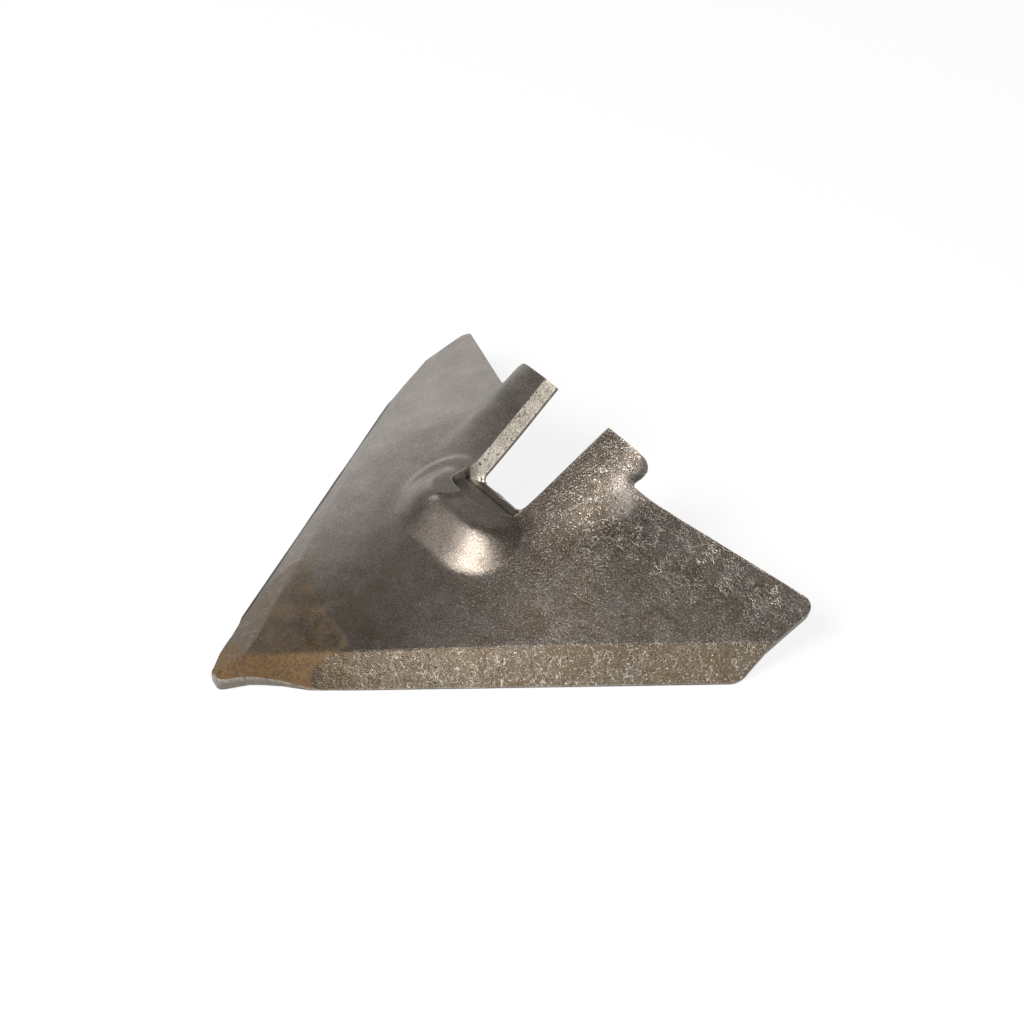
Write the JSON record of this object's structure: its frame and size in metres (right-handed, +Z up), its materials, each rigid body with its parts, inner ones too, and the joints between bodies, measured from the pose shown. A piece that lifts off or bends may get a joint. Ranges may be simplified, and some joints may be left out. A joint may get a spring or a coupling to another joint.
{
  "type": "duckfoot sweep",
  "caption": "Pressed steel V-shaped cultivator sweep with a hooded, slotted crown and bevelled cutting edges.",
  "frame": {"origin": "middle of the footprint, at the height of the lowest cutting edge", "axes": "+Z up, +X across the blade, the nose points to -Y and the tabs to +Y"},
  "size_m": [0.225, 0.1974, 0.0598],
  "materials": {
    "plate": "dark satin, as forged and hardened, with ground bevels and some rust at the nose"
  },
  "bodies": {
    "root": {"sweep": "plate"}
  },
  "joints": []
}
